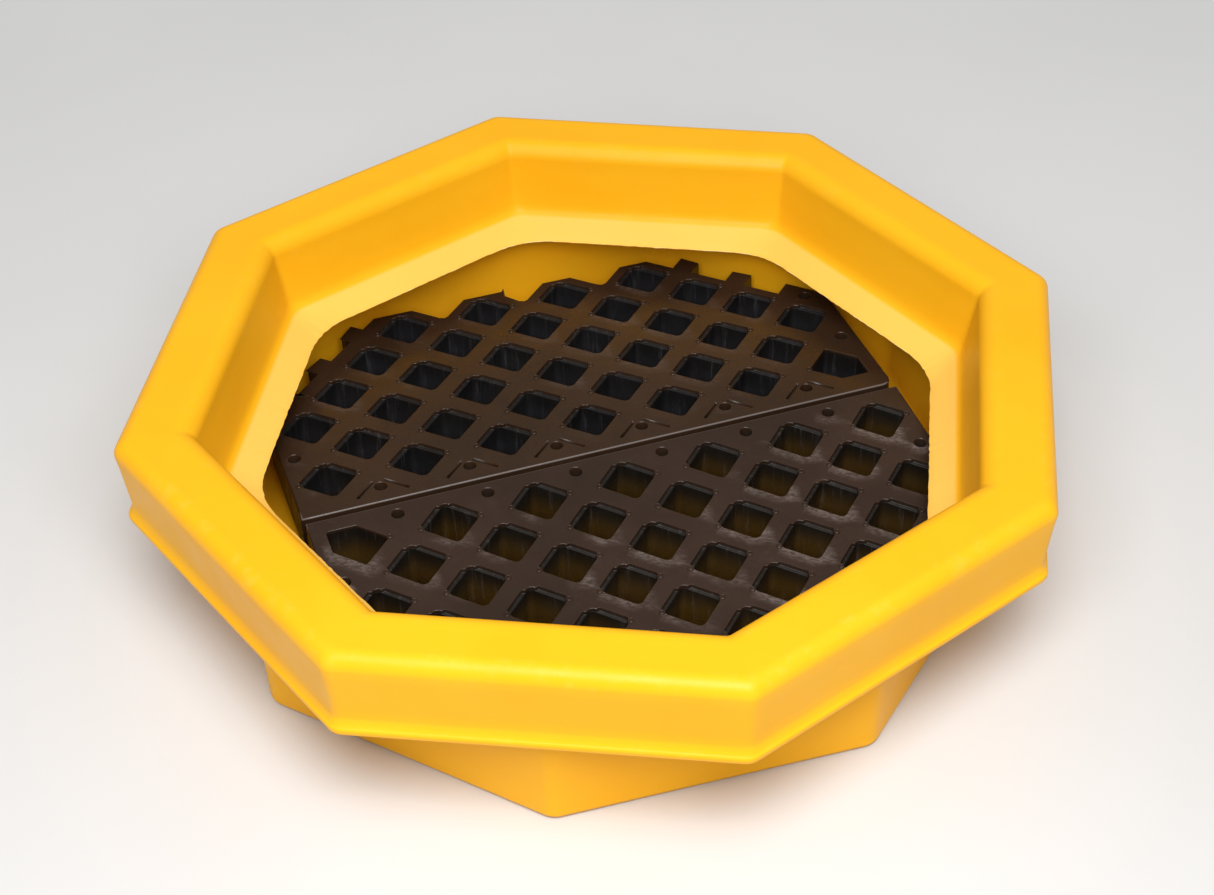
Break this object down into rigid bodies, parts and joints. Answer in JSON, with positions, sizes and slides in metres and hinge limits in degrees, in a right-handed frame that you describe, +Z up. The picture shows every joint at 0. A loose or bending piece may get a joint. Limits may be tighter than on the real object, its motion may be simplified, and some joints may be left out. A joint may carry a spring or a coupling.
{
  "type": "spill containment tray",
  "caption": "Octagonal hollow-moulded spill tray with an inward splash lip and two lift-out lattice grate halves over its sump.",
  "frame": {"origin": "centre of the tray's footprint, on the ground", "axes": "+Z up, +X and +Y through the middles of two neighbouring sides of the rim"},
  "size_m": [0.9, 0.9, 0.23],
  "materials": {
    "tray_plastic": "satin moulded skin",
    "rear_grate_plastic": "semi-gloss moulded, scuffed",
    "front_grate_plastic": "semi-gloss moulded, scuffed"
  },
  "bodies": {
    "tray": {"tray": "tray_plastic"},
    "rear_half": {"rear_grate": "rear_grate_plastic", "rear_legs": "rear_grate_plastic"},
    "front_half": {"front_grate": "front_grate_plastic", "front_legs": "front_grate_plastic"}
  },
  "joints": [
    {"name": "rear_grate_lift", "type": "slide", "parent": "tray", "child": "rear_half", "axis": [0, 0, 1], "range_m": [0, 0.019]},
    {"name": "front_grate_lift", "type": "slide", "parent": "tray", "child": "front_half", "axis": [0, 0, 1], "range_m": [0, 0.022]}
  ]
}
